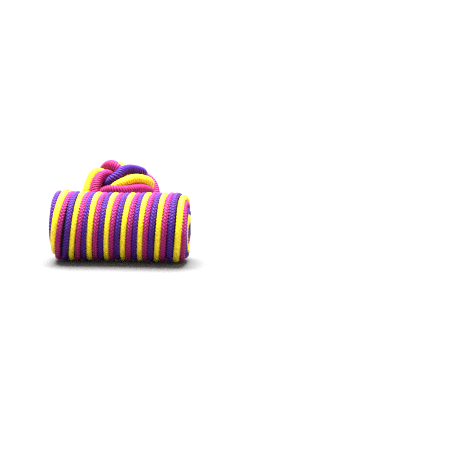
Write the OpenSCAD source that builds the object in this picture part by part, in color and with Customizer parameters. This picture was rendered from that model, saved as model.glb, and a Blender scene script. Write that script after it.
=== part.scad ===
// Silk knot cuff button: a barrel wound with three thin cords, a ball knotted
// from three thicker cords, and the elastic link between them that the cuff is
// buttoned on. X runs along the barrel, Y from the barrel to the knot, Z up.
// The button lies on Z = 0, with the middle of its outline over the origin.

/* [Barrel] */
// Diameter over the wound cords
barrel_d = 9; // [7:0.1:12]
// Length over the two wound ends
barrel_len = 17.9; // [14:0.1:24]
// Slope of each domed end at its rim, in degrees
end_slope = 13; // [5:1:20]
// Rounding of the rim, at the middle of the wound cord
rim_r = 0.75; // [0.7:0.05:1]
// Thickness of the thin cord that is wound on
wound_cord_d = 0.7; // [0.6:0.01:0.9]
// Room between one turn and the next
turn_gap = 0.01; // [0.01:0.01:0.05]
// Where a yellow turn crosses the front, from the middle of the barrel
yellow_at = 0.99; // [0:0.01:2]
// Radius of the little eye left in the middle of each wound end
end_eye_r = 0.75; // [0.7:0.01:0.9]

/* [Knot] */
// Diameter over the knotted cords
knot_d = 10.5; // [9.5:0.1:12]
// Thickness of the knotted cord
knot_cord_d = 1.08; // [0.8:0.01:1.08]
// Distance between two cords that run side by side
knot_pitch = 1.12; // [1.1:0.01:1.16]
// How far a cord rises or sinks where two bands cross
weave_h = 0.64; // [0.6:0.01:0.7]
// Latitude, in degrees, that the middle cord reaches either way
band_lat = 50.4; // [49:0.1:52]
// Degrees by which the band keeps away from the link's end of the ball
link_end_room = 3.3; // [2:0.1:4]
// Turn of the whole pattern about the knot's own axis, in degrees
knot_turn = 65; // [0:1:90]
// Tip of the knot's axis, its far end up, in degrees
knot_tip = 9; // [0:1:12]
// How far the knot leans to the left of the link's root
knot_lean = 2.1; // [0:0.1:3]

/* [Link] */
// Clear distance between the barrel and the knot
link_len = 7.5; // [5:0.1:10]
// Thickness of one link cord
link_cord_d = 0.95; // [0.8:0.01:1]
// Distance between two link cords, side by side
link_pitch = 1; // [0.98:0.01:1.05]
// Room between the link and what it passes through
link_gap = 0.06; // [0.03:0.01:0.15]

/* [Hidden] */

VIOLET = "#5a2fb8";
YELLOW = "#ffe21e";
MAGENTA = "#d63ca0";
CORE = "#3a3050";

// Number of cords in a band, and the place of each colour across it
CORDS = 3;
VIOLET_AT = -1;
YELLOW_AT = 0;
MAGENTA_AT = 1;

// Fineness of the swept cords
WOUND_SIDES = 6;
WOUND_STEP = 18;
KNOT_SIDES = 8;
KNOT_RINGS = 104;
LINK_SIDES = 8;
LINK_RINGS = 16;

// Width of a wound cord, pressed between its neighbours, as a share of its height
PRESSED = 0.93;

// Barrel
barrel_r = barrel_d / 2;
wound_r = barrel_r - wound_cord_d / 2;
turn_pitch = wound_cord_d + turn_gap;
lead = CORDS * turn_pitch;
core_gap = 0.04;
chord_sag = wound_r * (1 - cos(WOUND_STEP / 2));
core_r = wound_r - wound_cord_d / 2 - chord_sag - core_gap;
rim_turn = 90 - end_slope;
face_r = wound_r - rim_r * (1 - cos(rim_turn));
dome_rise = face_r * tan(end_slope) / 2;
rim_x = barrel_len / 2 - dome_rise - wound_cord_d / 2;
straight_x = rim_x - rim_r * sin(rim_turn);
rim_arc = rim_r * rim_turn * PI / 180;
wound_reach = straight_x + rim_arc + face_r - end_eye_r;
core_half = rim_x - wound_cord_d / 2 - core_gap;
core_bevel = rim_r / 2;

// Knot: a Turk's head of three leads and four bights, followed by each cord
LEADS = 3;
BIGHTS = 4;
WEAVE_FLAT = 3.3;
WEAVE_SHIFT = 25;
BIGHT_FLAT = 2.8;
BIGHT_SPREAD = 3.3;
knot_r = knot_d / 2;
knot_mid_r = knot_r - weave_h - knot_cord_d / 2;
knot_core_r = knot_mid_r - weave_h - knot_cord_d / 2 - core_gap;

// Link: its root sits where two turns part at the back of the barrel
back_yellow = yellow_at - lead / 2;
root_x = back_yellow - turn_pitch / 2;
link_half_turn = asin((CORDS / 2) * link_pitch / wound_r);
part_shift = (link_cord_d + 2 * link_gap + wound_cord_d - turn_pitch) / 2
    + lead * link_half_turn / 360;
part_flat = link_half_turn - 4;
part_fade = 48;
socket_depth = 1.2;
root_y = core_r - socket_depth + link_gap;

function unit(v) = v / norm(v);
function clamp01(x) = max(0, min(1, x));
function ease(x) = let(c = clamp01(x)) c * c * (3 - 2 * c);
function tanh(x) = (exp(2 * x) - 1) / (exp(2 * x) + 1);

// Faces of a tube of "rings" rings with "sides" points each, closed or capped
function tube_faces(rings, sides, closed) = concat(
    [for (i = [0 : rings - (closed ? 1 : 2)], k = [0 : sides - 1])
        let(
            j = (i + 1) % rings,
            m = (k + 1) % sides
        )
        each [
            [i * sides + k, j * sides + m, j * sides + k],
            [i * sides + k, i * sides + m, j * sides + m]
        ]],
    closed ? [] : [
        [for (k = [sides - 1 : -1 : 0]) k],
        [for (k = [0 : sides - 1]) (rings - 1) * sides + k]
    ]
);

// One ring of a tube: across and out span the section, wide and high are its size
function ring(at, across, out, wide, high, sides) = [
    for (k = [0 : sides - 1])
        let(a = 360 * (k + 0.5) / sides)
        at + across * (wide / 2 * cos(a)) + out * (high / 2 * sin(a))
];

// The wound surface in section: half of it, from the middle of the barrel (s = 0)
// along the side, round the rim and in over the domed end
function side_of(s) = s < 0 ? -1 : 1;
function profile(s) =
    let(
        d = abs(s),
        past_rim = d - straight_x - rim_arc,
        rim_a = (d - straight_x) / rim_r * 180 / PI,
        r = face_r - past_rim,
        share = r / face_r
    )
    d < straight_x ? [s, wound_r, 0]
    : past_rim < 0 ? [
        side_of(s) * (straight_x + rim_r * sin(rim_a)),
        wound_r - rim_r * (1 - cos(rim_a)),
        side_of(s) * rim_a
    ]
    : [
        side_of(s) * (rim_x + dome_rise * (1 - share * share)),
        r,
        side_of(s) * (90 - atan(tan(end_slope) * share))
    ];

// The turns part round the link at the back of the barrel: how near the back a
// point is, from 0 to 1, and how far it is pushed along the barrel
function back_of(turn) = 180 + 360 * round((turn - 180) / 360);
function near_back(turn) = 1 - ease((abs(turn - back_of(turn)) - part_flat) / part_fade);
function parting(s, turn) =
    let(
        from_root = s + lead * (back_of(turn) - turn) / 360 - root_x,
        fade = clamp01(1 - abs(from_root) / straight_x)
    )
    side_of(from_root) * part_shift * fade * near_back(turn);

// Middle of a wound cord, with the outward direction there
function wound_at(place, turn) =
    let(
        s = yellow_at + place * turn_pitch + lead * turn / 360,
        p = profile(s),
        x = p[0] + parting(s, turn)
    )
    [
        [x, -p[1] * cos(turn), p[1] * sin(turn)],
        [sin(p[2]), -cos(p[2]) * cos(turn), cos(p[2]) * sin(turn)]
    ];

function wound_ring(place, turn) =
    let(
        here = wound_at(place, turn),
        ahead = wound_at(place, turn + 1)[0],
        behind = wound_at(place, turn - 1)[0],
        across = unit(cross(ahead - behind, here[1])),
        squeeze = PRESSED - near_back(turn) * part_shift / straight_x
    )
    ring(here[0], across, here[1], wound_cord_d * squeeze, wound_cord_d, WOUND_SIDES);

module winding(place) {
    reach = 360 / lead;
    first = (-wound_reach - yellow_at - place * turn_pitch) * reach;
    last = (wound_reach - yellow_at - place * turn_pitch) * reach;
    steps = ceil((last - first) / WOUND_STEP);
    rings = [for (i = [0 : steps]) wound_ring(place, first + (last - first) * i / steps)];
    translate([0, axis_y, axis_z])
        polyhedron(
            points = [for (r = rings) each r],
            faces = tube_faces(steps + 1, WOUND_SIDES, false),
            convexity = 12
        );
}

// Direction from the knot's middle to the middle of the band
function knot_lat(t) = link_end_room + band_lat * sin(t) + BIGHT_FLAT * sin(3 * t);
function knot_lon(t) = knot_turn + t * LEADS / BIGHTS - BIGHT_SPREAD * sin(2 * t);
function band_dir(t) = [
    cos(knot_lat(t)) * sin(knot_lon(t)),
    sin(knot_lat(t)),
    cos(knot_lat(t)) * cos(knot_lon(t))
];

// Over and under: the band lies high, then low, at its crossings in turn
function weave(t) =
    tanh(WEAVE_FLAT * cos(2 * t + 90 + WEAVE_SHIFT * sin(2 * t))) / tanh(WEAVE_FLAT);

function strand_level(t) = knot_mid_r + weave_h * weave(t);

function strand_dir(place, t) =
    let(
        mid = band_dir(t),
        along = unit(band_dir(t + 0.5) - band_dir(t - 0.5)),
        across = unit(cross(along, mid)),
        a = place * knot_pitch / strand_level(t) * 180 / PI
    )
    mid * cos(a) + across * sin(a);

function strand_at(place, t) = strand_dir(place, t) * strand_level(t);

function strand_ring(place, t) =
    let(
        out = strand_dir(place, t),
        along = unit(strand_at(place, t + 0.5) - strand_at(place, t - 0.5)),
        across = unit(cross(along, out)),
        up = cross(across, along)
    )
    ring(strand_at(place, t), across, up, knot_cord_d, knot_cord_d, KNOT_SIDES);

// How far the tipped ball's cords reach towards the barrel, away from it and down
function tipped(p) = [
    p[0],
    p[1] * cos(knot_tip) - p[2] * sin(knot_tip),
    p[1] * sin(knot_tip) + p[2] * cos(knot_tip)
];
knot_step = 360 * BIGHTS / KNOT_RINGS;
knot_mids = [
    for (place = [VIOLET_AT : MAGENTA_AT], i = [0 : KNOT_RINGS - 1])
        tipped(strand_at(place, i * knot_step))
];
knot_near = knot_cord_d / 2 - min([for (p = knot_mids) p[1]]);
knot_far = knot_cord_d / 2 + max([for (p = knot_mids) p[1]]);
knot_low = knot_cord_d / 2 - min([for (p = knot_mids) p[2]]);

// Places of the ball and of the barrel's axis: the ball lies on the same surface
knot_x = root_x - knot_lean;
knot_y = barrel_r + link_len + knot_near;
knot_z = knot_low - barrel_r;
axis_y = -(knot_y + knot_far - barrel_r) / 2;
axis_z = barrel_r;

module at_knot() {
    translate([knot_x, axis_y + knot_y, axis_z + knot_z])
        rotate([knot_tip, 0, 0])
            children();
}

module strand(place) {
    at_knot()
        polyhedron(
            points = [for (i = [0 : KNOT_RINGS - 1]) each strand_ring(place, i * knot_step)],
            faces = tube_faces(KNOT_RINGS, KNOT_SIDES, true),
            convexity = 12
        );
}

// The link's own middle line, from its root in the barrel to its end in the knot
link_start = [root_x, root_y, 0];
knot_hole = [0, -cos(knot_tip), -sin(knot_tip)];
link_stop = [knot_x, knot_y, knot_z] + knot_hole * (knot_core_r - socket_depth + link_gap);
link_pull = norm(link_stop - link_start) * 0.4;
function link_mid(w) =
    pow(1 - w, 3) * link_start
    + 3 * pow(1 - w, 2) * w * (link_start + [0, link_pull, 0])
    + 3 * (1 - w) * w * w * (link_stop + knot_hole * link_pull)
    + pow(w, 3) * link_stop;

// Stacked one above another at the barrel, the cords roll into a round bundle
function bundle(w) =
    let(
        roll = ease((w - 0.3) / 0.45),
        low = [0, 0],
        middle = link_pitch * [sin(90 * roll), cos(90 * roll)],
        high = middle + link_pitch * [-sin(30 * roll), cos(30 * roll)],
        centre = (low + middle + high) / 3
    )
    [high - centre, middle - centre, low - centre];

function link_at(place, w) =
    let(
        along = unit(link_mid(min(1, w + 0.01)) - link_mid(max(0, w - 0.01))),
        side = unit(cross(along, [0, 0, 1])),
        up = cross(side, along),
        off = bundle(w)[place + 1]
    )
    link_mid(w) + side * off[0] + up * off[1];

function link_ring(place, w) =
    let(
        along = unit(link_at(place, min(1, w + 0.01)) - link_at(place, max(0, w - 0.01))),
        side = unit(cross(along, [0, 0, 1])),
        up = cross(side, along)
    )
    ring(link_at(place, w), side, up, link_cord_d, link_cord_d, LINK_SIDES);

module link(place) {
    translate([0, axis_y, axis_z])
        polyhedron(
            points = [for (i = [0 : LINK_RINGS - 1]) each link_ring(place, i / (LINK_RINGS - 1))],
            faces = tube_faces(LINK_RINGS, LINK_SIDES, false),
            convexity = 4
        );
}

// The core has a slot at its back that the link's cords are glued into
module barrel_core() {
    slot_w = link_cord_d + 2 * link_gap;
    slot_h = CORDS * link_pitch + 2 * link_gap;
    color(CORE)
        translate([0, axis_y, axis_z])
            difference() {
                rotate([0, 90, 0])
                    rotate_extrude($fn = 64)
                        polygon([
                            [0, -core_half], [core_r - core_bevel, -core_half],
                            [core_r, core_bevel - core_half], [core_r, core_half - core_bevel],
                            [core_r - core_bevel, core_half], [0, core_half]
                        ]);
                translate([root_x - slot_w / 2, core_r - socket_depth, -slot_h / 2])
                    cube([slot_w, barrel_r, slot_h]);
            }
}

module violet_winding() {
    color(VIOLET) winding(VIOLET_AT);
}

module yellow_winding() {
    color(YELLOW) winding(YELLOW_AT);
}

module magenta_winding() {
    color(MAGENTA) winding(MAGENTA_AT);
}

// The ball's core has a round socket for the bundled end of the link
module knot_core() {
    socket_r = link_pitch / sqrt(3) + link_cord_d / 2 + link_gap;
    color(CORE)
        at_knot()
            difference() {
                sphere(r = knot_core_r, $fn = 48);
                translate([0, socket_depth - knot_core_r, 0])
                    rotate([90, 0, 0])
                        cylinder(r = socket_r, h = knot_r, $fn = 48);
            }
}

module violet_strand() {
    color(VIOLET) strand(VIOLET_AT);
}

module yellow_strand() {
    color(YELLOW) strand(YELLOW_AT);
}

module magenta_strand() {
    color(MAGENTA) strand(MAGENTA_AT);
}

module violet_link() {
    color(VIOLET) link(VIOLET_AT);
}

module yellow_link() {
    color(YELLOW) link(YELLOW_AT);
}

module magenta_link() {
    color(MAGENTA) link(MAGENTA_AT);
}

barrel_core();
violet_winding();
yellow_winding();
magenta_winding();
knot_core();
violet_strand();
yellow_strand();
magenta_strand();
violet_link();
yellow_link();
magenta_link();
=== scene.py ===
# Silk knot cuff button: a barrel wound with three thin silk cords, a ball knotted from three
# ribbed elastic cords, and the link of the same elastic cord that joins them. It lies on a
# pale table under soft light.
import math

import bpy
import numpy as np
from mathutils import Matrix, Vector


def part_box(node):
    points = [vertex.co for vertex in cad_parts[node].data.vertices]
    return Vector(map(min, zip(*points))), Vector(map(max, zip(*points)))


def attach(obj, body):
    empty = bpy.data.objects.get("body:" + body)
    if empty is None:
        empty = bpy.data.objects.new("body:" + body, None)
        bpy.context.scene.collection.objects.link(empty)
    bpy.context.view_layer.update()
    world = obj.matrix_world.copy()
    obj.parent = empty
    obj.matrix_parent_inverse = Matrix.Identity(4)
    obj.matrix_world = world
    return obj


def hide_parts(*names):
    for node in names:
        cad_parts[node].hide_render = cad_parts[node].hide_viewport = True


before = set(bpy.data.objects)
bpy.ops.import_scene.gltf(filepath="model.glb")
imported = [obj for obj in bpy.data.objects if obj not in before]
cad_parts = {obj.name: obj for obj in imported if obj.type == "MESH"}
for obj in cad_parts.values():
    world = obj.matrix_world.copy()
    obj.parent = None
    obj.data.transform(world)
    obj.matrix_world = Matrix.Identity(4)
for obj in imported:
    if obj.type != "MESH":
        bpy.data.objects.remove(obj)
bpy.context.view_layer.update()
MM = 0.001

# Camera: a long lens looks at the barrel from a little above the table and a little to the
# right. The picture is square, and the barrel's middle stands left of its centre.
PICTURE_SIDE_PX = 452
BARREL_MIDDLE_PX = (120.0, 226.3)
FOCAL_PX = 2600
SENSOR_WIDTH = 36.0
CAMERA_DISTANCE = 330 * MM
CAMERA_AZIMUTH = math.radians(5.8)
CAMERA_ELEVATION = math.radians(9.8)
CLIP_NEAR = 10 * MM
CLIP_FAR = 10000 * MM

core_low, core_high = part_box("barrel_core")
barrel_middle = (core_low + core_high) / 2

camera_back = Vector((
    math.sin(CAMERA_AZIMUTH) * math.cos(CAMERA_ELEVATION),
    -math.cos(CAMERA_AZIMUTH) * math.cos(CAMERA_ELEVATION),
    math.sin(CAMERA_ELEVATION),
))
camera_right = Vector((math.cos(CAMERA_AZIMUTH), math.sin(CAMERA_AZIMUTH), 0))
camera_up = camera_back.cross(camera_right)
metres_per_px = CAMERA_DISTANCE / FOCAL_PX
off_right = (BARREL_MIDDLE_PX[0] - PICTURE_SIDE_PX / 2) * metres_per_px
off_up = (PICTURE_SIDE_PX / 2 - BARREL_MIDDLE_PX[1]) * metres_per_px

bpy.ops.object.camera_add(
    location=barrel_middle + camera_back * CAMERA_DISTANCE
    - camera_right * off_right - camera_up * off_up,
    rotation=(math.pi / 2 - CAMERA_ELEVATION, 0, CAMERA_AZIMUTH),
)
camera = bpy.context.object
camera.name = "camera"
camera.data.sensor_width = SENSOR_WIDTH
camera.data.lens = SENSOR_WIDTH * FOCAL_PX / PICTURE_SIDE_PX
camera.data.clip_start = CLIP_NEAR
camera.data.clip_end = CLIP_FAR
bpy.context.scene.camera = camera

# Wound cords of the barrel: three fine braided cords of artificial silk, violet, yellow and
# magenta, wound side by side round the padded core, over its rims and in to the middle of
# each end. At the back the turns part to let the link out.
VIOLET, YELLOW, MAGENTA = -1, 0, 1
BAND = {"violet": VIOLET, "yellow": YELLOW, "magenta": MAGENTA}
CORDS = len(BAND)

BARREL_D = 9.0 * MM
BARREL_LEN = 17.9 * MM
END_SLOPE = math.radians(13)
RIM_R = 0.75 * MM
WOUND_CORD_D = 0.7 * MM
# The cords press on each other, which makes them this many times as wide as high.
PRESSED_WIDER = 1.03
TURN_PITCH = 0.71 * MM
# Where the yellow cord's middle turn crosses the front of the barrel.
YELLOW_X = 0.99 * MM
# The cords end on a small circle in the middle of each end, and sink in towards it.
END_EYE_R = 0.4 * MM
EYE_DIVE = 0.5 * MM
EYE_RIM_R = 1.1 * MM
# The spiral on the right end lies less close, by this much over this way in from the rim.
FACE_SLACK = 0.7 * MM
FACE_SLACK_OVER = 2.0 * MM
# The link's cords are stacked in the slot at the back. The turns part to clear the stack, and
# come together again over PART_FADE, which starts PART_EDGE short of the stack's edge.
LINK_CORD_D = 0.95 * MM
LINK_PITCH = 1.0 * MM
LINK_GAP = 0.06 * MM
PART_FADE = math.radians(48)
PART_EDGE = math.radians(4)
# The barrel is slimmer in its middle. No turn lies quite true or is quite even: each wanders
# and swells in waves, so many to a turn.
WAIST = 0.2 * MM
WAIST_REACH = 5.5 * MM
WANDER = 0.025 * MM
WANDER_WAVES, SLOW_WANDER_WAVES = 1.37, 0.61
SWELL = 0.03
SWELL_WAVES = 0.43
# Turns that lie out of line near the ends. For a cord and its turn, counted from the middle:
# how far it is pushed along the barrel at its front, top and bottom, how far it stands out at
# the top and is tucked in at the bottom (mm), how many times as wide the slack cord is at its
# front and its top, and the share of a turn on either side of the front that stays like that.
# Past that share it all fades over LOOSE_FADE of a turn. The pushes are nil at the very back
# of the barrel, and come in from there at BACK_RISE.
LOOSE_TURNS = (
    # cord, turn, front, top, bottom, lift, tuck, width, top width, hold
    (VIOLET, -4, -0.11, -0.15, -0.02, 0, 0.5, 1.1, 1.1, 0.3),
    (YELLOW, -4, -0.27, 0.15, -0.31, 0.2, 0.6, 1.06, 1.2, 0.2),
    (MAGENTA, -4, -0.32, 0.08, -0.5, 0, 0.1, 1.12, 1.0, 0.2),
    (VIOLET, -3, 0.05, -0.02, -0.38, 0, 0, 1.0, 1.08, 0.2),
    (YELLOW, -3, 0.04, 0.1, -0.23, 0, 0, 1.0, 1.0, 0.1),
    (MAGENTA, -3, 0.06, 0.11, -0.14, 0, 0, 1.0, 1.0, 0.1),
    (VIOLET, 2, 0.04, 0, -0.06, 0, 0, 1.0, 1.0, 0.2),
    (YELLOW, 2, 0.16, -0.02, -0.04, 0, 0, 1.05, 1.05, 0.2),
    (MAGENTA, 2, 0.2, 0.06, 0.04, 0, 0, 1.05, 1.05, 0.2),
    (VIOLET, 3, 0.33, 0.06, 0.2, 0, 0, 1.2, 1.16, 0.3),
    (YELLOW, 3, 0.58, 0.28, 0.38, -0.18, 0, 1.16, 1.08, 0.3),
    (MAGENTA, 3, 0.5, 0.16, 0.38, -0.3, 0.1, 1.1, 1.1, 0.3),
    (VIOLET, 4, 0.3, 0.2, 0.33, -0.3, 0.2, 1.25, 1.25, 0.4),
    (YELLOW, 4, 0.15, 0.15, 0.15, 0, 0, 1.3, 1.3, 0.4),
)
LOOSE_FADE = 0.4
BACK_RISE = 1.6
WOUND_STEP = 0.0625 * MM
WOUND_SIDES = 20
ROUTE_SAMPLES = 20001

lead = CORDS * TURN_PITCH
wound_r = (BARREL_D - WOUND_CORD_D) / 2
rim_turn = math.pi / 2 - END_SLOPE
rim_arc = RIM_R * rim_turn
face_r = wound_r - RIM_R * (1 - math.cos(rim_turn))
dome_rise = face_r * math.tan(END_SLOPE) / 2
rim_x = BARREL_LEN / 2 - dome_rise - WOUND_CORD_D / 2
straight_x = rim_x - RIM_R * math.sin(rim_turn)
wound_reach = straight_x + rim_arc + face_r - END_EYE_R
# The link comes out at the back, between the violet and the yellow cord.
root_x = YELLOW_X - lead / 2 - TURN_PITCH / 2
link_half_turn = math.asin(CORDS / 2 * LINK_PITCH / wound_r)
part_shift = (
    (LINK_CORD_D + 2 * LINK_GAP + WOUND_CORD_D - TURN_PITCH) / 2
    + lead * link_half_turn / (2 * math.pi)
)


def ease(x):
    """0 up to 0, 1 from 1 on, and a smooth rise between them."""
    x = np.clip(x, 0, 1)
    return x * x * (3 - 2 * x)


def unit(v):
    """Vectors of the same directions and of length 1."""
    return v / np.linalg.norm(v, axis=-1, keepdims=True)


def wound_profile(s):
    """Place on the axis, radius and outward tilt of the wound surface, at s from its middle."""
    d = np.abs(s)
    side = np.where(s < 0, -1, 1)
    rim_a = np.clip((d - straight_x) / RIM_R, 0, rim_turn)
    past_rim = np.maximum(d - straight_x - rim_arc, 0)
    past_rim = past_rim + np.where(s > 0, FACE_SLACK, 0) * ease(past_rim / FACE_SLACK_OVER)
    share = (face_r - past_rim) / face_r
    on_dome = past_rim > 0
    x_side = np.minimum(d, straight_x) + RIM_R * np.sin(rim_a)
    x = np.where(on_dome, rim_x + dome_rise * (1 - share ** 2), x_side)
    r = np.where(on_dome, face_r - past_rim, wound_r - RIM_R * (1 - np.cos(rim_a)))
    tilt = np.where(on_dome, math.pi / 2 - np.arctan(math.tan(END_SLOPE) * share), rim_a)
    return side * x, r, side * tilt


def parting(s, turn):
    """How far a turn is pushed along the barrel to let the link out at its back."""
    back = math.pi + 2 * math.pi * np.round((turn - math.pi) / (2 * math.pi))
    near_back = 1 - ease((np.abs(turn - back) - link_half_turn + PART_EDGE) / PART_FADE)
    from_root = s + lead * (back - turn) / (2 * math.pi) - root_x
    fade = np.clip(1 - np.abs(from_root) / straight_x, 0, 1)
    return np.where(from_root < 0, -1, 1) * part_shift * fade * near_back


def looseness(place, turn):
    """How far a turn is pushed along and how far it stands out, and its width's factor."""
    pushed, lifted, wider = np.zeros_like(turn), np.zeros_like(turn), np.zeros_like(turn)
    height = np.sin(turn)
    upper, lower = np.maximum(height, 0), np.maximum(-height, 0)
    off_back = ease(BACK_RISE * (1 + np.cos(turn)))
    for cord, number, front, top, bottom, lift, tuck, width, top_width, hold in LOOSE_TURNS:
        if cord == place:
            share = 1 - ease((np.abs(turn / (2 * math.pi) - number) - hold) / LOOSE_FADE)
            lean, bow = (top - bottom) / 2, (top + bottom) / 2 - front
            pushed += share * off_back * (front + lean * height + bow * height ** 2) * MM
            lifted += share * (lift * upper - tuck * lower) * MM
            wider += share * (width - 1 + (top_width - width) * upper)
    wander = np.sin(WANDER_WAVES * turn + place) + np.sin(SLOW_WANDER_WAVES * turn + 2 * place)
    swell = SWELL * np.sin(SWELL_WAVES * turn + 3 * place)
    return pushed + wander * WANDER, lifted, 1 + wider + swell


def wound_at(place, turn):
    """Middle of a wound cord and the outward direction there."""
    s = YELLOW_X + place * TURN_PITCH + lead * turn / (2 * math.pi)
    x, r, tilt = wound_profile(s)
    pushed, lifted, _ = looseness(place, turn)
    dive = EYE_DIVE * ease((EYE_RIM_R - r) / (EYE_RIM_R - END_EYE_R))
    x = x + parting(s, turn) + pushed - np.sign(s) * dive
    r = r + lifted - WAIST * np.exp(-(s / WAIST_REACH) ** 2)
    mid = np.stack([x, -r * np.cos(turn), r * np.sin(turn)], -1)
    out = np.stack(
        [np.sin(tilt), -np.cos(tilt) * np.cos(turn), np.cos(tilt) * np.sin(turn)], -1
    )
    return mid + np.array(barrel_middle), out


def even_steps(route, start, stop, step):
    """Parameters of a route at even distances of about one step, and those distances."""
    t = np.linspace(start, stop, ROUTE_SAMPLES)
    run = np.linalg.norm(np.diff(route(t), axis=0), axis=1)
    run = np.concatenate([[0], np.cumsum(run)])
    count = int(run[-1] / step)
    at = np.linspace(0, run[-1], count + 1)
    return np.interp(at, run, t), at


# The braided cover is short yarns in columns along the cord. They follow one another at the
# pitch, and lean one way in one column and the other way in the next. The twist is how many
# columns go by in a metre. At the edges of its column a yarn has YARN_EDGE of its height, and
# the smaller YARN_CROWN is, the more bluntly it rises from there.
FINE_BRAID = {"pitch": 0.4 * MM, "columns": 6, "lean": 0.4, "twist": 0.12 / MM}
BRAID_DEPTH = 0.06 * MM
YARN_EDGE = 0.45
YARN_CROWN = 0.5


def braid(along, around, pitch, columns, lean, twist):
    """Height, 0 to 1, of a cover at a distance along the cord and a share of the way round."""
    turn = columns * around + twist * along
    column = np.floor(turn)
    over = turn - column
    way = 2 * (column % 2) - 1
    yarn = along / pitch + column / 2 + lean * way * (over - 0.5)
    rise = YARN_EDGE + (1 - YARN_EDGE) * np.sin(math.pi * over) ** YARN_CROWN
    return np.sin(math.pi * (yarn % 1)) * rise


def fine_braid(along, around):
    """Height, 0 to 1, of the braided cover of the wound cords."""
    return braid(along, around, **FINE_BRAID)


def cord_points(mids, outs, along, wide, high, sides, cover, depth, closed):
    """Rings of points round a cord's middle line, which sink in where its cover dips."""
    if closed:
        heading = unit(np.roll(mids, -1, 0) - np.roll(mids, 1, 0))
    else:
        heading = unit(np.gradient(mids, axis=0))
    across = unit(np.cross(heading, outs))
    up = np.cross(across, heading)
    around = (np.arange(sides) + 0.5) / sides
    angle = 2 * math.pi * around
    sink = depth * (cover(along[:, None], around[None, :]) - 1)
    aside = (wide[:, None] / 2 + sink) * np.cos(angle)
    rise = (high[:, None] / 2 + sink) * np.sin(angle)
    points = mids[:, None] + across[:, None] * aside[..., None] + up[:, None] * rise[..., None]
    return points.reshape(-1, 3)


def cord_mesh(name, mids, outs, along, wide, high, sides, cover, depth, closed):
    """A cord swept along its middle line, with its cover's relief in the mesh.

    Its UV map holds the distance along the cord (mm) and the share of the way round it."""
    if closed:
        mids, outs, along = mids[:-1], outs[:-1], along[:-1]
        wide, high = wide[:-1], high[:-1]
    points = cord_points(mids, outs, along, wide, high, sides, cover, depth, closed)
    rings = len(mids)
    i = np.arange(rings if closed else rings - 1)[:, None]
    k = np.arange(sides)[None, :]
    j, m = (i + 1) % rings, (k + 1) % sides
    wall = np.stack([i * sides + k, j * sides + k, j * sides + m, i * sides + m], -1)
    faces = wall.reshape(-1, 4).tolist()
    if not closed:
        faces.append(list(range(sides)))
        faces.append(list(range(rings * sides - 1, (rings - 1) * sides - 1, -1)))
    mesh = bpy.data.meshes.new(name)
    mesh.from_pydata(points.tolist(), [], faces)

    ring_step = along[1] - along[0]
    u = (along[i] + ring_step * np.array([0, 1, 1, 0])) / MM
    v = (k.T + 0.5 + np.array([0, 0, 1, 1])) / sides
    wall_uv = np.stack(np.broadcast_arrays(u[:, None], v[None]), -1).reshape(-1, 2)
    corners = np.zeros((len(mesh.loops), 2), np.float32)
    corners[:len(wall_uv)] = wall_uv
    uv = mesh.uv_layers.new(name="along_and_around")
    uv.data.foreach_set("uv", corners.reshape(-1))
    mesh.polygons.foreach_set("use_smooth", np.ones(len(mesh.polygons), bool))
    mesh.update()
    piece = bpy.data.objects.new(name, mesh)
    bpy.context.scene.collection.objects.link(piece)
    return piece


# Silk: its fibres are noise that changes 3 times in a millimetre along the cord and 9 times on
# the way round it. They fray the yarns and streak the colour, from a given range of the noise to
# a range of brightness. Over a range of heights a yarn goes from a darker colour in its dips,
# which is painted shade, to its dye on its crest.
FIBRE_GRAIN = (3, 9, 1)
FIBRE_DETAIL = 2
FIBRE_FRAY = 0.3
FIBRE_NOISE = (0.3, 0.7)
FIBRE_STREAK = (0.75, 1.25)
DIP_SHADE_RISE = (0.35, 0.8)
SILK_ROUGHNESS = 0.48
SILK_SPECULAR = 0.2
SILK_SHEEN = 0.02
SILK_SHEEN_ROUGHNESS = 0.4


def worked(tree, operation, *values):
    """The result of a Math node on sockets and numbers."""
    node = tree.nodes.new("ShaderNodeMath")
    node.operation = operation
    for slot, value in enumerate(values):
        if isinstance(value, (int, float)):
            node.inputs[slot].default_value = value
        else:
            tree.links.new(value, node.inputs[slot])
    return node.outputs[0]


def half_wave(tree, value):
    """The sine of a value that runs from 0 to 1: 0 at its ends and 1 in its middle."""
    return worked(tree, "SINE", worked(tree, "MULTIPLY", value, math.pi))


def ranged(tree, value, given, wanted=(0, 1), smooth=False):
    """A value brought from the given range to the wanted one."""
    node = tree.nodes.new("ShaderNodeMapRange")
    node.interpolation_type = "SMOOTHSTEP" if smooth else "LINEAR"
    node.inputs["From Min"].default_value, node.inputs["From Max"].default_value = given
    node.inputs["To Min"].default_value, node.inputs["To Max"].default_value = wanted
    tree.links.new(value, node.inputs["Value"])
    return node.outputs["Result"]


def mixed(tree, share, low, high):
    """A colour between two others."""
    node = tree.nodes.new("ShaderNodeMix")
    node.data_type = "RGBA"
    # The node has sockets of the same names for each type of data. These are the colours'.
    low_slot, high_slot, mix_slot = 6, 7, 2
    node.inputs[low_slot].default_value = (*low, 1)
    node.inputs[high_slot].default_value = (*high, 1)
    tree.links.new(share, node.inputs["Factor"])
    return node.outputs[mix_slot]


def noise(tree, place, scale, detail):
    """Noise, 0 to 1, with this many changes to one unit of the place."""
    node = tree.nodes.new("ShaderNodeTexNoise")
    node.inputs["Scale"].default_value = scale
    node.inputs["Detail"].default_value = detail
    tree.links.new(place, node.inputs["Vector"])
    return node.outputs["Fac"]


def raise_relief(tree, height, depth):
    """Gives the material a relief of this depth."""
    bump = tree.nodes.new("ShaderNodeBump")
    bump.inputs["Distance"].default_value = depth
    tree.links.new(height, bump.inputs["Height"])
    tree.links.new(bump.outputs["Normal"], tree.nodes["Principled BSDF"].inputs["Normal"])


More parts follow.
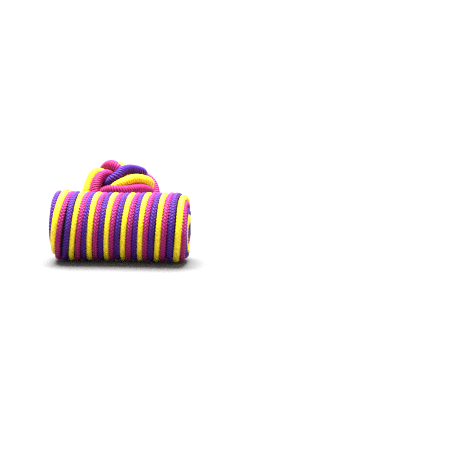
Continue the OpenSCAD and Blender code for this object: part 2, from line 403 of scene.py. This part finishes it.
def braid_nodes(tree, along, around, fibres, pitch, columns, lean, twist):
    """The height that braid() gives, as nodes, with the yarns frayed by their fibres."""
    drift = worked(tree, "MULTIPLY", along, twist * MM)
    turn = worked(tree, "MULTIPLY_ADD", around, columns, drift)
    column = worked(tree, "FLOOR", turn)
    over = worked(tree, "SUBTRACT", turn, column)
    odd = worked(tree, "FLOORED_MODULO", column, 2)
    way = worked(tree, "MULTIPLY_ADD", odd, 2 * lean, -lean)
    off_middle = worked(tree, "SUBTRACT", over, 0.5)
    half_step = worked(tree, "DIVIDE", column, 2)
    run = worked(tree, "MULTIPLY_ADD", along, MM / pitch, half_step)
    straight = worked(tree, "MULTIPLY_ADD", way, off_middle, run)
    yarn = worked(tree, "MULTIPLY_ADD", fibres, FIBRE_FRAY, straight)
    across_bow = half_wave(tree, worked(tree, "FRACT", yarn))
    crown = worked(tree, "POWER", half_wave(tree, over), YARN_CROWN)
    rise = worked(tree, "MULTIPLY_ADD", crown, 1 - YARN_EDGE, YARN_EDGE)
    return worked(tree, "MULTIPLY", across_bow, rise)


def silk(name, crest, dip_shade, gloss, relief_depth, **cover):
    """Braided silk cord: its dye on the crest of each yarn, a darker colour where it dips as
    painted shade, and fibres.
    """
    material = bpy.data.materials.new(name)
    material.use_nodes = True
    tree = material.node_tree
    shader = tree.nodes["Principled BSDF"]
    cord_place = tree.nodes.new("ShaderNodeUVMap")
    cord_place.uv_map = "along_and_around"
    split = tree.nodes.new("ShaderNodeSeparateXYZ")
    tree.links.new(cord_place.outputs["UV"], split.inputs[0])
    stretch = tree.nodes.new("ShaderNodeMapping")
    stretch.inputs["Scale"].default_value = FIBRE_GRAIN
    tree.links.new(cord_place.outputs["UV"], stretch.inputs["Vector"])

    fibres = noise(tree, stretch.outputs["Vector"], 1, FIBRE_DETAIL)
    height = braid_nodes(tree, split.outputs["X"], split.outputs["Y"], fibres, **cover)
    # The yarns' dips take a darker colour here: painted shade in the grooves between the yarns.
    dye_and_dip_shade = mixed(tree, ranged(tree, height, DIP_SHADE_RISE, smooth=True), dip_shade, crest)
    streaked = tree.nodes.new("ShaderNodeVectorMath")
    streaked.operation = "SCALE"
    tree.links.new(dye_and_dip_shade, streaked.inputs[0])
    tree.links.new(ranged(tree, fibres, FIBRE_NOISE, FIBRE_STREAK), streaked.inputs["Scale"])
    tree.links.new(streaked.outputs["Vector"], shader.inputs["Base Color"])
    raise_relief(tree, worked(tree, "MULTIPLY_ADD", fibres, FIBRE_FRAY, height), relief_depth)

    shader.inputs["Roughness"].default_value = SILK_ROUGHNESS
    shader.inputs["Specular IOR Level"].default_value = SILK_SPECULAR
    shader.inputs["Specular Tint"].default_value = (*gloss, 1)
    shader.inputs["Sheen Weight"].default_value = SILK_SHEEN
    shader.inputs["Sheen Roughness"].default_value = SILK_SHEEN_ROUGHNESS
    shader.inputs["Sheen Tint"].default_value = (*gloss, 1)
    return material


# The fine cords' dyes on the yarns' crests, the darker colours in their dips that are painted
# shade, the tint of their gloss, and the depth of their yarns' relief.
FINE_SILKS = {
    "violet": ((0.104, 0.026, 0.32), (0.04, 0.01, 0.15), (0.45, 0.3, 1.0), 0.12 * MM),
    "yellow": ((1.0, 0.78, 0.02), (1.0, 0.73, 0.015), (1.0, 1.0, 1.0), 0.02 * MM),
    "magenta": ((0.55, 0.026, 0.228), (0.28, 0.008, 0.085), (0.85, 0.65, 1.0), 0.12 * MM),
}
for colour, place in BAND.items():
    middle_turn = -(YELLOW_X + place * TURN_PITCH) / lead * 2 * math.pi
    turn_reach = wound_reach / lead * 2 * math.pi
    slack_turn = FACE_SLACK / lead * 2 * math.pi
    turns, along = even_steps(
        lambda turn: wound_at(place, turn)[0],
        middle_turn - turn_reach, middle_turn + turn_reach - slack_turn, WOUND_STEP,
    )
    mids, outs = wound_at(place, turns)
    wide = WOUND_CORD_D * PRESSED_WIDER * looseness(place, turns)[2]
    high = np.full(len(turns), WOUND_CORD_D)
    winding = cord_mesh(
        f"{colour}_wound_cord", mids, outs, along, wide, high,
        WOUND_SIDES, fine_braid, BRAID_DEPTH, False,
    )
    winding.data.materials.append(silk(f"{colour} fine cord", *FINE_SILKS[colour], **FINE_BRAID))
    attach(winding, "root")
    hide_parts(f"{colour}_winding")

# Knotted ball: each colour is one closed round of ribbed elastic cord, and the three run side
# by side as one band. The band weaves over and under itself round the ball's core, with
# four bights at either end.
KNOT_CORD_D = 1.26 * MM
KNOT_R = 5.45 * MM
KNOT_PITCH = 1.26 * MM
LEADS, BIGHTS = 3, 4
# The band swings this far to either side of the ball's waist, with flat wide bights, and
# leaves more room at the link's end.
BAND_LAT = math.radians(51)
LINK_END_ROOM = math.radians(4)
BIGHT_FLAT = math.radians(3)
BIGHT_SPREAD = math.radians(2)
# It goes over and under by WEAVE_H. WEAVE_FLAT keeps it level between the changes, and
# WEAVE_SHIFT makes them quicker at the ball's waist than at the bights.
WEAVE_H = 0.66 * MM
WEAVE_FLAT = 3
WEAVE_SHIFT = math.radians(28)
# The whole knot is turned about its axis, and its far end is tipped up.
KNOT_TURN = math.radians(60)
KNOT_TIP = math.radians(10.7)
# Where a cord is pulled aside or lies higher or lower than its neighbours: the cord, where
# along it and over how far (degrees), how far it moves towards the link's end and how far
# outwards (mm).
PULLS = (
    # cord, at, over, aside, lift
    (MAGENTA, 1335, 38, -0.8, 0.7),
    (MAGENTA, 1405, 34, -0.4, 0.1),
    (MAGENTA, 330, 35, -0.28, 0.05),
    (MAGENTA, 305, 18, -0.1, 0),
    (MAGENTA, 362, 14, 0.3, -0.45),
    (MAGENTA, 878, 22, 0.05, 0.14),
    (MAGENTA, 903, 12, -0.25, 0.05),
    (MAGENTA, 505, 25, 0, 0.3),
    (YELLOW, 1408, 30, -0.42, 0.08),
    (YELLOW, 1438, 16, 0.38, 0.35),
    (YELLOW, 1335, 26, 0.3, -0.4),
    (YELLOW, 305, 18, -0.25, 0),
    (YELLOW, 330, 35, -0.3, 0.1),
    (YELLOW, 360, 14, -0.05, 0.3),
    (YELLOW, 388, 14, 0, -0.5),
    (YELLOW, 890, 20, -0.1, -0.25),
    (VIOLET, 1410, 28, -0.72, 0.14),
    (VIOLET, 1436, 15, 0.3, 0.3),
    (VIOLET, 1350, 22, 0.25, 0.15),
    (VIOLET, 1388, 14, -0.12, 0.08),
    (VIOLET, 1300, 18, 0.1, -0.4),
    (VIOLET, 335, 25, 0.45, -0.5),
    (VIOLET, 880, 30, 0.3, -0.6),
)
# Where a knotted cord lies slack and is thicker: the cord, where and over how far (degrees),
# and by which share.
PLUMP = (
    # cord, at, over, share
    (VIOLET, 1385, 50, 0.08),
    (YELLOW, 1422, 25, 0.06),
    (MAGENTA, 325, 40, 0.15),
    (MAGENTA, 890, 25, 0.12),
)
RIBS = {"pitch": 0.3 * MM, "columns": 2, "lean": -2.4, "twist": 0}
RIB_DEPTH = 0.06 * MM
# The elastic cords' dyes, their darker colours in the dips that are painted shade, gloss and
# relief, in the order of the fine cords'. The dyes are mostly darker than the fine cords' as
# painted shade, since the ball lies in weaker light than the barrel's top.
SHADED_ELASTIC_SILKS = {
    "violet": ((0.094, 0.025, 0.35), (0.012, 0.002, 0.05), (0.3, 0.12, 1.0), 0.12 * MM),
    "yellow": ((0.94, 0.7, 0.025), (0.87, 0.49, 0.005), (1.0, 0.95, 0.5), 0.03 * MM),
    "magenta": ((0.51, 0.027, 0.185), (0.24, 0.008, 0.075), (1.0, 0.25, 0.75), 0.1 * MM),
}
KNOT_STEP = 0.04 * MM
KNOT_SIDES = 24
HEADING_STEP = 0.005

ball_low, ball_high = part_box("knot_core")
ball_core_r = (ball_high.x - ball_low.x) / 2
ball_middle = Vector((
    (ball_low.x + ball_high.x) / 2,
    ball_high.y - ball_core_r,
    (ball_low.z + ball_high.z) / 2,
))
knot_mid_r = KNOT_R - WEAVE_H - KNOT_CORD_D / 2
whole_round = 2 * math.pi * BIGHTS


def band_dir(t):
    """Direction from the ball's middle to the middle of the band."""
    lat = LINK_END_ROOM + BAND_LAT * np.sin(t) + BIGHT_FLAT * np.sin(3 * t)
    lon = KNOT_TURN + t * LEADS / BIGHTS - BIGHT_SPREAD * np.sin(2 * t)
    return np.stack([np.cos(lat) * np.sin(lon), np.sin(lat), np.cos(lat) * np.cos(lon)], -1)


def nearness(t, at, over):
    """1 at a place on the round and less to either side of it, both given in degrees."""
    away = (t - math.radians(at) + whole_round / 2) % whole_round - whole_round / 2
    return np.exp(-(away / math.radians(over)) ** 2)


def pulled(place, t):
    """How far a knotted cord is moved aside, and outwards, by the pulls on it."""
    aside, lifted = np.zeros_like(t), np.zeros_like(t)
    for cord, at, over, side, lift in PULLS:
        if cord == place:
            aside += side * MM * nearness(t, at, over)
            lifted += lift * MM * nearness(t, at, over)
    return aside[:, None], lifted[:, None]


def plumpness(place, t):
    """How many times as thick as elsewhere a knotted cord is."""
    thick = np.ones_like(t)
    for cord, at, over, share in PLUMP:
        if cord == place:
            thick += share * nearness(t, at, over)
    return thick


def strand_level(t):
    """Distance of the band from the ball's middle, as it goes over and under."""
    wave = np.cos(2 * t + math.pi / 2 + WEAVE_SHIFT * np.sin(2 * t))
    return knot_mid_r + WEAVE_H * np.tanh(WEAVE_FLAT * wave) / math.tanh(WEAVE_FLAT)


def tipped(p):
    """Points or directions of the knot, tipped with it."""
    cos_tip, sin_tip = math.cos(KNOT_TIP), math.sin(KNOT_TIP)
    x, y, z = p[..., 0], p[..., 1], p[..., 2]
    return np.stack([x, y * cos_tip - z * sin_tip, y * sin_tip + z * cos_tip], -1)


def strand_at(place, t):
    """Middle of a knotted cord and the outward direction there."""
    mid = band_dir(t)
    heading = unit(band_dir(t + HEADING_STEP) - band_dir(t - HEADING_STEP))
    across = unit(np.cross(heading, mid))
    aside, lifted = pulled(place, t)
    level = strand_level(t)[:, None] + lifted
    a = (place * KNOT_PITCH + aside) / knot_mid_r
    out = mid * np.cos(a) + across * np.sin(a)
    at = tipped(out * level) + np.array(ball_middle)
    # No strand sinks into the table that the knot lies on.
    at[:, 2] = np.maximum(at[:, 2], KNOT_CORD_D / 2)
    return at, tipped(out)


def ribs(along, around):
    """Height, 0 to 1, of the ribbed cover: short yarns laid nearly across the cord."""
    return braid(along, around, **RIBS)


elastic = {
    colour: silk(f"{colour} elastic cord", *finish, **RIBS)
    for colour, finish in SHADED_ELASTIC_SILKS.items()
}
for colour, place in BAND.items():
    t, along = even_steps(lambda t: strand_at(place, t)[0], 0, whole_round, KNOT_STEP)
    # A closed round holds a whole number of ribs, so that it has no seam.
    whole_ribs = round(along[-1] / RIBS["pitch"]) * RIBS["pitch"]
    along *= whole_ribs / along[-1]
    mids, outs = strand_at(place, t)
    size = KNOT_CORD_D * plumpness(place, t)
    strand = cord_mesh(
        f"{colour}_knot_cord", mids, outs, along, size, size, KNOT_SIDES, ribs, RIB_DEPTH, True
    )
    strand.data.materials.append(elastic[colour])
    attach(strand, "root")
    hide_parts(f"{colour}_strand")

# Link: the same three elastic cords run on from the barrel to the ball. They are stacked in the
# slot at the barrel's back, roll into a round bundle on the way, and end in the ball's socket.
SOCKET_DEPTH = 1.2 * MM
# The socket faces the barrel, and down by this much.
SOCKET_TIP = math.radians(9)
# How far the link keeps its first and last direction, as a share of its span.
LINK_PULL = 0.4
# Where along the link the stack starts to roll into a bundle, and over which share of it.
ROLL_START = 0.3
ROLL_OVER = 0.45
LINK_STEP = 0.04 * MM
LINK_SIDES = 24

barrel_core_r = core_high.y - barrel_middle.y
link_start = np.array(barrel_middle) + [root_x, barrel_core_r - SOCKET_DEPTH + LINK_GAP, 0]
out_of_socket = np.array([0, -math.cos(SOCKET_TIP), -math.sin(SOCKET_TIP)])
link_stop = np.array(ball_middle) + out_of_socket * (ball_core_r - SOCKET_DEPTH + LINK_GAP)
link_pull = np.linalg.norm(link_stop - link_start) * LINK_PULL


def link_mid(w):
    """Middle of the bundle, on a curve that leaves the barrel and enters the ball straight."""
    w = np.asarray(w)[:, None]
    leave = link_start + np.array([0, link_pull, 0])
    arrive = link_stop + out_of_socket * link_pull
    return (
        (1 - w) ** 3 * link_start + 3 * (1 - w) ** 2 * w * leave
        + 3 * (1 - w) * w ** 2 * arrive + w ** 3 * link_stop
    )


def link_at(place, w):
    """Middle of a link cord: one of a stack at the barrel, one of a round bundle at the ball."""
    roll = ease((w - ROLL_START) / ROLL_OVER)
    quarter, twelfth = math.pi / 2 * roll, math.pi / 6 * roll
    low = np.zeros((len(w), 2))
    middle = LINK_PITCH * np.stack([np.sin(quarter), np.cos(quarter)], -1)
    high = middle + LINK_PITCH * np.stack([-np.sin(twelfth), np.cos(twelfth)], -1)
    centre = (low + middle + high) / 3
    off = {VIOLET: high, YELLOW: middle, MAGENTA: low}[place] - centre
    along = unit(np.gradient(link_mid(w), axis=0))
    side = unit(np.cross(along, [0, 0, 1]))
    up = np.cross(side, along)
    return link_mid(w) + side * off[:, :1] + up * off[:, 1:], up


for colour, place in BAND.items():
    w, along = even_steps(lambda w: link_at(place, w)[0], 0, 1, LINK_STEP)
    mids, outs = link_at(place, w)
    size = np.full(len(w), LINK_CORD_D)
    link = cord_mesh(
        f"{colour}_link_cord", mids, outs, along, size, size, LINK_SIDES, ribs, RIB_DEPTH, False
    )
    link.data.materials.append(elastic[colour])
    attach(link, "root")
    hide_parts(f"{colour}_link")

# Cores: the padded middle of the barrel and of the ball, of tufted wadding that hardly shows
# between the cords. Its colour is near black as painted shade, standing in for the shade in the
# gaps between the cords.
WADDING_SHADE_DARK = (0.004, 0.003, 0.006)
WADDING_SHADE_PALE = (0.008, 0.007, 0.01)
TUFTS_PER_METRE = 3000
TUFT_DETAIL = 2
TUFT_RELIEF = 0.05 * MM
WADDING_ROUGHNESS = 0.95

wadding = bpy.data.materials.new("core wadding")
wadding.use_nodes = True
core_place = wadding.node_tree.nodes.new("ShaderNodeTexCoord")
tufts = noise(wadding.node_tree, core_place.outputs["Object"], TUFTS_PER_METRE, TUFT_DETAIL)
# Both wadding colours are near black as painted shade. The tufts only vary it at random.
painted_shade_tufts = mixed(wadding.node_tree, tufts, WADDING_SHADE_DARK, WADDING_SHADE_PALE)
wadding_shader = wadding.node_tree.nodes["Principled BSDF"]
wadding.node_tree.links.new(painted_shade_tufts, wadding_shader.inputs["Base Color"])
raise_relief(wadding.node_tree, tufts, TUFT_RELIEF)
wadding_shader.inputs["Roughness"].default_value = WADDING_ROUGHNESS
for core in ("barrel_core", "knot_core"):
    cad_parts[core].material_slots[0].material = wadding

# Table and light: a plain pale table under one large soft light. It hangs overhead, a little
# behind the button and to the left, so that the front of the barrel darkens towards the table.
TABLE_SIDE = 3
TABLE_PALE = (0.18, 0.18, 0.182, 1)
TABLE_ROUGHNESS = 0.8
TABLE_SPECULAR = 0.2
STUDIO_WHITE = (1, 1, 1, 1)
STUDIO_GLOW = 0.7
LIGHT_TILT = math.radians(15)
LIGHT_DISTANCE = 2.0
LIGHT_LEFT = 0.2
LIGHT_SIZE = 2.0
LIGHT_WATTS = 290

bpy.ops.object.select_all(action="DESELECT")
bpy.ops.mesh.primitive_plane_add(size=TABLE_SIDE, location=(0, 0, 0))
table = bpy.context.object
table.name = "table"
table_white = bpy.data.materials.new("table white")
table_white.use_nodes = True
table_shader = table_white.node_tree.nodes["Principled BSDF"]
table_shader.inputs["Base Color"].default_value = TABLE_PALE
table_shader.inputs["Roughness"].default_value = TABLE_ROUGHNESS
table_shader.inputs["Specular IOR Level"].default_value = TABLE_SPECULAR
table.data.materials.append(table_white)

studio = bpy.data.worlds.new("studio")
bpy.context.scene.world = studio
studio.use_nodes = True
studio.node_tree.nodes["Background"].inputs["Color"].default_value = STUDIO_WHITE
studio.node_tree.nodes["Background"].inputs["Strength"].default_value = STUDIO_GLOW

bpy.ops.object.light_add(
    type="AREA",
    location=(
        -LIGHT_LEFT,
        LIGHT_DISTANCE * math.sin(LIGHT_TILT),
        LIGHT_DISTANCE * math.cos(LIGHT_TILT),
    ),
    rotation=(-LIGHT_TILT, 0, 0),
)
softbox = bpy.context.object
softbox.name = "softbox"
softbox.data.shape = "DISK"
softbox.data.size = LIGHT_SIZE
softbox.data.energy = LIGHT_WATTS

bpy.context.scene.view_settings.view_transform = "Standard"
# The fine yarns of the cords are about two pixels apart, and a denoiser would smooth them away.
bpy.context.scene.cycles.use_denoising = False
